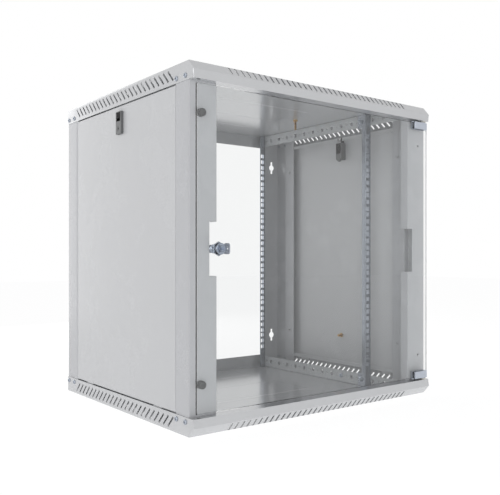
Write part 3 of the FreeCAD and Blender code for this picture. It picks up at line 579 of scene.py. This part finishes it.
grey_plastic = finish("moulded_grey_plastic", "666768", 0.0, 0.42, (30, 0.03), (0.7, 0.02))
black_plastic = finish("moulded_black_plastic", "111112", 0.0, 0.62, (20, 0.06), (0.7, 0.02),
                       ior=1.3)
spring_steel = finish("spring_steel", "8E9298", 1.0, 0.25, (4, 0.08), (0.4, 0.01))
latch_y = 3.25
latch_face = 304.0
panel_face = 298.5
inner_end = 281.5
flange_low, flange_high = 544.5, 589.0
box_low, box_high = 546.35, 587.15
key_z = 555.5
key_well = 7.0
window_low, window_high = 569.9, 587.4
window_half = 8.25
for name, side in (("right", 1), ("left", -1)):

    def latch_bar(x0, x1, half_y, z0, z1):
        xs = sorted((side * x0, side * x1))
        return bar("latch", (xs[0], latch_y - half_y, z0), (xs[1], latch_y + half_y, z1))

    case = latch_bar(panel_face, latch_face, 11.5, flange_low, flange_high)
    roll(case, 1.1, lambda a, b: abs(a.x - b.x) > 1)
    roll(case, 0.4, lambda a, b: min(abs(a.x), abs(b.x)) > latch_face - 0.01, 3)
    lug = placed(turned("lug", [(4.9, 0), (4.9, 6)], 32),
                 (side * inner_end, latch_y, box_low), (side, 0, 0))
    carved(case, latch_bar(inner_end, panel_face + 1, 9.3, box_low, box_high), lug, way="UNION")
    bore = placed(turned("bore", [(4.3, 0), (4.3, 20)]), (side * 290, latch_y, key_z),
                  (side, 0, 0))
    carved(case, bore, latch_bar(292.55, 297.05, 6.25, 559.35, 590),
           latch_bar(296.8, 310, window_half, window_low, window_high),
           latch_bar(270, 290.95, 7.7, 561.1, 585.55))
    eased(case, 0.2, smooth=35)
    fitted(case, name + "_latch_case", "latch_plastic", grey_plastic, black_plastic)
    case.name = name + "_latch_case_finished"
    # The walls and inside of the window take the black plastic: painted shade in the window.
    faced(case, lambda spot, normal: window_low - 0.1 < spot.z < window_high + 0.1
          and abs(spot.y - latch_y) < window_half + 0.05 and abs(spot.x) < latch_face - 0.3)

    button = eased(copied(name + "_latch_button"), 0.35, smooth=35, steps=3)
    fitted(button, name + "_latch_button", "latch_button_plastic", black_plastic)
    bolt = eased(copied(name + "_latch_bolt"), 0.3, crease=30, smooth=35)
    fitted(bolt, name + "_latch_bolt", "latch_button_plastic", black_plastic)
    spring = eased(copied(name + "_latch_spring"), 0.12, smooth=35)
    fitted(spring, name + "_latch_spring", "pin_steel", spring_steel)
    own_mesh(spring)
    plug = turned(name + "_latch_key_plug_finished",
                  [(4.0, 0), (4.0, 13.3), (3.85, 13.7), (3.5, 14.0)])
    plug = placed(plug, (side * 290, latch_y, key_z), (side, 0, 0))
    well = placed(turned("well", [(1.6, 0), (1.6, 9)], 24),
                  (side * (latch_face - key_well), latch_y, key_z), (side, 0, 0))
    carved(plug, well, latch_bar(latch_face - key_well, latch_face + 2, 0.6,
                                 key_z - 2.5, key_z + 2.5))
    smoothed(plug)
    fitted(plug, name + "_latch_key_plug", "lock_chrome", grey_plastic, black_plastic)
    # The faces in the key well and its slot take the black plastic: painted shade in the
    # keyhole.
    faced(plug, lambda spot, normal: math.hypot(spot.y - latch_y, spot.z - key_z) < 2.6
          and latch_face - key_well - 1 < abs(spot.x) < latch_face - 0.3)


# Hinges: cast clamps over the right corners of the glass, with rubber pads under their
# jaws. A steel pin stands on each one and turns in a nylon bush in the lip of the cap.
clamp_metal = finish("satin_clamp_casting", "B6BCC6", 1.0, 0.36, (8, 0.05), (0.6, 0.03))
pin_steel = finish("ground_steel_pin", "A7AAAF", 1.0, 0.2, (4, 0.06), (0.4, 0.01))
socket_steel = finish("blackened_set_screw", "3A3C3F", 1.0, 0.4, (2, 0.1), (0.4, 0.02))
pad_rubber = finish("grey_rubber_pad", "3B3C3D", 0.0, 0.7, (6, 0.08), (0.4, 0.03))
bush_nylon = finish("natural_nylon", "CFCEC8", 0.0, 0.45, (10, 0.03), (0.5, 0.02))
clamp_screws_x = (260.0, 277.0)
clamp_screws_z = 589.4
rear_jaw_face = -262.5
pins = []
bushes = []
for end, up in (("top", 1), ("bottom", -1)):

    def mirrored(z):
        return z if up == 1 else casing_height - z

    front_jaw = eased(copied(end + "_hinge_front"), 0.5, crease=30, steps=3)
    fitted(front_jaw, end + "_hinge_front", "hinge_metal", clamp_metal)
    rear_jaw = copied(end + "_hinge_back")
    screws = []
    for x in clamp_screws_x:
        place = (x, rear_jaw_face, mirrored(clamp_screws_z))
        carved(rear_jaw, placed(turned("seat", [(2.2, -1.5), (2.2, 1)], 32), place, (0, 1, 0)))
        screw = turned("set_screw", [(2.1, -1.6), (2.1, -0.5), (1.9, -0.3)], 32)
        screws.append(placed(carved(screw, turned("socket", [(1.15, -1.3), (1.15, 1)], 6)),
                             place, (0, 1, 0)))
    eased(rear_jaw, 0.4, crease=35, steps=3)
    rear_jaw.data.materials.append(clamp_metal)
    rear_jaw.data.materials.append(socket_steel)
    for screw in screws:
        screw.data.materials.append(socket_steel)
    fitted(joined(rear_jaw, *screws), end + "_hinge_back", "hinge_metal")
    axle = (286.5, -269.0, mirrored(cap_edge_z))
    pins.append(placed(turned("pin", [(2.6, -5.6), (3, -5.2), (3, 2.6), (2.6, 3.0)]), axle,
                       (0, 0, up)))
    bush = turned("bush", [(3.05, -3.1), (5.7, -3.1), (6.0, -2.8), (6.0, 0), (4.25, 0),
                           (4.25, 2.6), (3.9, 3.0), (3.05, 3.0)], ring=True)
    bushes.append(placed(bush, axle, (0, 0, up)))
for pieces, node, slot, surface in (
    (pins, "hinge_pins", "pin_steel", pin_steel),
    (bushes, "hinge_bushes", "bush_nylon", bush_nylon),
):
    pair = smoothed(joined(*pieces))
    pair.name = node + "_finished"
    fitted(pair, node, slot, surface)
fitted(eased(copied("hinge_pads"), 0.1), "hinge_pads", "pad_rubber", pad_rubber)


# Door: one pane of 5 mm toughened float glass with a drilled hole for the lock.
# Its faces and ground edges are clear and neutral, with the faint ripple of float glass.
material, tree, output = blank("toughened_float_glass")
place = add_node(tree, "ShaderNodeTexCoord").outputs["Object"]
wave = add_node(tree, "ShaderNodeTexNoise", Vector=place, Scale=4.0, Detail=1.0)
ripple = add_node(tree, "ShaderNodeBump", Height=wave.outputs["Fac"], Strength=0.1,
                  Distance=0.02 * MM)
clear = add_node(tree, "ShaderNodeBsdfPrincipled", Base_Color=linear("F4F5F5"), Roughness=0.0,
                 IOR=1.5, Transmission_Weight=1.0, Normal=ripple.outputs[0])
path = add_node(tree, "ShaderNodeLightPath")
unseen = add_node(tree, "ShaderNodeMath", {"operation": "MAXIMUM"},
                  i0=path.outputs["Is Shadow Ray"], i1=path.outputs["Is Diffuse Ray"])
passing = add_node(tree, "ShaderNodeBsdfTransparent", Color=linear("FDFEFE"))
pane_mix = add_node(tree, "ShaderNodeMixShader", i0=unseen.outputs[0], i1=clear.outputs[0],
                    i2=passing.outputs[0])
tree.links.new(pane_mix.outputs[0], output.inputs["Surface"])
fitted(smoothed(copied("door_glass")), "door_glass", "door_glass", material)


# Door lock: a die-cast cylinder through the glass, clamped by a washer and a hexagon nut.
# Its plug turns in the body with the key, and a screw holds the cam on its square tail.
lock_chrome = finish("dark_chrome_plate", "98A0AC", 1.0, 0.2, (5, 0.08), (0.5, 0.01))
cam_zinc = finish("passivated_zinc_cam", "A2A9B4", 1.0, 0.34, (6, 0.1), (0.5, 0.02))
lock_x = -246.4
glass_front = -274.5
glass_back = -269.5
lock_place = (lock_x, glass_front, middle_z)
barrel_end = 26.5
cam_clearance = 0.04
body = turned("lock_body_finished", [
    (5.05, -barrel_end + cam_clearance), (6.9, -barrel_end + cam_clearance),
    (7.3, -barrel_end + 0.4), (7.3, 0), (9.9, 0), (10.0, 0.2), (10.0, 2.4), (9.7, 3.0),
    (9.1, 3.4), (8.4, 3.5), (5.7, 3.5), (5.05, 3.0),
], ring=True)
body = smoothed(joined(body, thread(7.8, -barrel_end + 0.4, -5.5, 1.0)))
fitted(placed(body, lock_place, (0, -1, 0)), "lock_body", "lock_chrome", lock_chrome)
washer = turned("lock_washer_finished", [(7.95, 0), (10.6, 0), (10.8, 0.2), (10.8, 0.8),
                                         (10.6, 1.0), (7.95, 1.0)], ring=True)
fitted(placed(washer, (lock_x, glass_back, middle_z), (0, 1, 0)), "lock_washer",
       "lock_chrome", lock_chrome)
nut = turned("lock_nut_finished", [(11.9, 0), (12.7, 0.6), (12.7, 3.4), (11.9, 4.0)], 6)
carved(nut, turned("bore", [(7.85, -1), (7.85, 5)], 48))
fitted(placed(nut, (lock_x, glass_back + 1, middle_z), (0, 1, 0)), "lock_nut",
       "lock_chrome", lock_chrome)
plug_face = 4.3
keyway_depth = 14.15
plug = turned("lock_plug_finished", [(5.0, -barrel_end), (5.0, 3.9), (4.8, 4.2),
                                     (4.5, plug_face)])
carved(plug, bar("keyway", (-0.85, -2.95, plug_face - keyway_depth), (0.85, 2.95, 6)))
tail = bar("tail", (-3, -3, -barrel_end - 2), (3, 3, -barrel_end + 1))
plug = smoothed(joined(plug, tail))
fitted(placed(plug, lock_place, (0, -1, 0)), "lock_plug", "lock_chrome", lock_chrome)
fitted(eased(copied("lock_cam"), 0.35, steps=3), "lock_cam", "fastener_zinc", cam_zinc)
screw = pan_screw("cam_screw_finished", 4.0, 2.2, 2.0, 6.0, 0.7)
fitted(placed(screw, (lock_x, -246.0, middle_z), (0, 1, 0)), "cam_screw", "fastener_zinc",
       bright_zinc)


# Key: a flat stamped blade with a rounded bow, nickel plated, in the lock.
# The bow has a sunk field and a hole for a ring, and the blade its cuts and side grooves.
key_nickel = finish("nickel_plate", "A2A7B1", 1.0, 0.24, (5, 0.08), (0.4, 0.01))
bow_front, bow_back = -302.8, -285.8
bow_half_thickness = 1.1
bow_half_height = 9.35
blade_half_thickness = 0.7
blade_half_height = 2.8
bow = bar("key_finished", (lock_x - bow_half_thickness, bow_front, middle_z - bow_half_height),
          (lock_x + bow_half_thickness, bow_back, middle_z + bow_half_height))
roll(bow, 4.8, lambda a, b: abs(a.x - b.x) > 1, 6)
for low_x, high_x in ((-2, -0.75), (0.75, 2)):
    field = bar("field", (lock_x + low_x, bow_front + 1.8, middle_z - 7.5),
                (lock_x + high_x, bow_back - 1.8, middle_z + 7.5))
    carved(bow, roll(field, 3.2, lambda a, b: abs(a.x - b.x) > 1, 6))
carved(bow, placed(turned("ring_hole", [(2.0, -5), (2.0, 5)], 32),
                   (lock_x, (bow_front + bow_back) / 2 - 2.5, middle_z), (1, 0, 0)))
eased(bow, 0.25, crease=40, smooth=35)
tip = -264.8
blade = bar("blade", (lock_x - blade_half_thickness, bow_back - 2, middle_z - blade_half_height),
            (lock_x + blade_half_thickness, tip, middle_z + blade_half_height))
roll(blade, 2.2, lambda a, b: min(a.y, b.y) > tip - 0.01 and abs(a.x - b.x) > 1, 3)
cut_radius = 1.7
cuts = []
for y, deep in ((-277.5, 1.0), (-274.5, 1.5), (-271.5, 0.8), (-268.5, 1.3)):
    cut = turned("cut", [(cut_radius, -3), (cut_radius, 3)], 4)
    cuts.append(placed(cut, (lock_x, y, middle_z - blade_half_height - cut_radius + deep),
                       (1, 0, 0)))
for x in (-0.95, 0.45):
    cuts.append(bar("groove", (lock_x + x, bow_back - 1, middle_z + 0.4),
                    (lock_x + x + 0.5, tip + 1, middle_z + 1.2)))
carved(blade, *cuts)
fitted(joined(bow, eased(blade, 0.1, smooth=30)), "key", "key_nickel", key_nickel)


# Door buffers: two black rubber studs pressed into the front left post.
# The glass closes against their domed heads.
buffer_rubber = finish("black_rubber_buffer", "474849", 0.0, 0.6, (6, 0.08), (0.5, 0.04))
buffer_x = -278.5
front_post_y = -259.0
buffers = []
for z in (87.0, 548.0):
    stud = turned("buffer", [(1.8, -4.0), (2.4, -3.4), (2.4, 0), (6.7, 0), (7.0, 0.4),
                             (7.0, 7.6), (6.7, 8.9), (6.0, 9.8), (4.8, 10.2)])
    buffers.append(placed(stud, (buffer_x, front_post_y, z), (0, -1, 0)))
pair = smoothed(joined(*buffers), 35)
pair.name = "door_buffers_finished"
fitted(pair, "door_buffers", "buffer_rubber", buffer_rubber)
